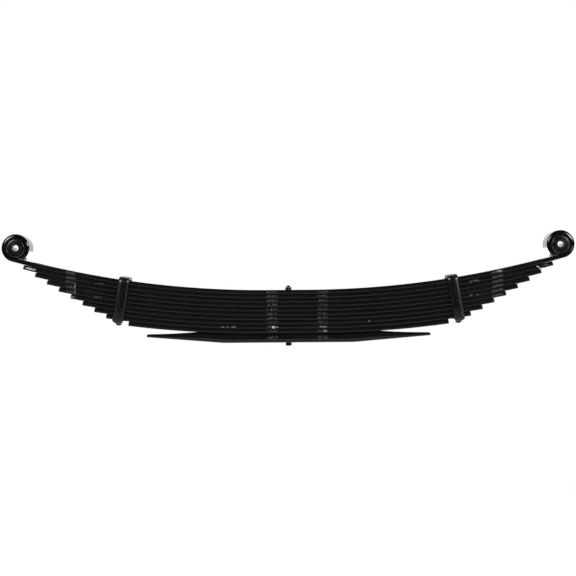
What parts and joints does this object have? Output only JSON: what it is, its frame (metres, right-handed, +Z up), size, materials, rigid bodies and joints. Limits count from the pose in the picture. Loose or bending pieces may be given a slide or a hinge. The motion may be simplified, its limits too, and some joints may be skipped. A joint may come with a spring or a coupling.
{
  "type": "leaf spring",
  "caption": "Semi-elliptic multi-leaf truck spring in black paint: rolled eyes with rubber bushings, graduated leaves, tapered overload leaf, rebound clips, centre bolt.",
  "frame": {"origin": "on the centre bolt's axis, in the plane of the overload leaf's underside, where the axle seat meets the spring", "axes": "+X along the spring to the right eye, +Y across the leaves, away from the side that the picture shows, +Z up, towards the eyes"},
  "size_m": [1.4948, 0.0952, 0.2973],
  "materials": {
    "gloss_black_paint": "gloss black paint on spring steel",
    "bushing_steel": "dark drawn steel tube",
    "bushing_rubber": "matt black moulded rubber"
  },
  "bodies": {
    "leaf_pack": {"main_leaf": "gloss_black_paint", "leaf_2": "gloss_black_paint", "leaf_3": "gloss_black_paint", "leaf_4": "gloss_black_paint", "leaf_5": "gloss_black_paint", "leaf_6": "gloss_black_paint", "leaf_7": "gloss_black_paint", "leaf_8": "gloss_black_paint", "leaf_9": "gloss_black_paint", "leaf_10": "gloss_black_paint", "overload_leaf": "gloss_black_paint", "centre_bolt": "gloss_black_paint", "centre_nut": "gloss_black_paint", "left_clip": "gloss_black_paint", "right_clip": "gloss_black_paint", "left_clip_rivet": "gloss_black_paint", "right_clip_rivet": "gloss_black_paint"},
    "left_eye": {"left_bushing_outer_sleeve": "bushing_steel", "left_bushing_rubber": "bushing_rubber"},
    "left_inner_sleeve": {"left_bushing_inner_sleeve": "bushing_steel"},
    "right_eye": {"right_bushing_outer_sleeve": "bushing_steel", "right_bushing_rubber": "bushing_rubber"},
    "right_inner_sleeve": {"right_bushing_inner_sleeve": "bushing_steel"}
  },
  "joints": [
    {"name": "left_flex", "type": "hinge", "parent": "leaf_pack", "child": "left_eye", "pos_m": [-0.21675, 0, 0.1315], "axis": [0, -1, 0], "range_deg": [-2, 12], "stiffness_Nm_per_rad": 31000, "deforming": ["main_leaf"]},
    {"name": "left_bushing_twist", "type": "hinge", "parent": "left_eye", "child": "left_inner_sleeve", "pos_m": [-0.711, 0, 0.25157], "axis": [0, 1, 0], "range_deg": [-20, 20], "stiffness_Nm_per_rad": 350},
    {"name": "right_flex", "type": "hinge", "parent": "leaf_pack", "child": "right_eye", "pos_m": [0.21675, 0, 0.1315], "axis": [0, 1, 0], "range_deg": [-2, 12], "stiffness_Nm_per_rad": 31000, "deforming": ["main_leaf"]},
    {"name": "right_bushing_twist", "type": "hinge", "parent": "right_eye", "child": "right_inner_sleeve", "pos_m": [0.711, 0, 0.25157], "axis": [0, 1, 0], "range_deg": [-20, 20], "stiffness_Nm_per_rad": 350}
  ]
}
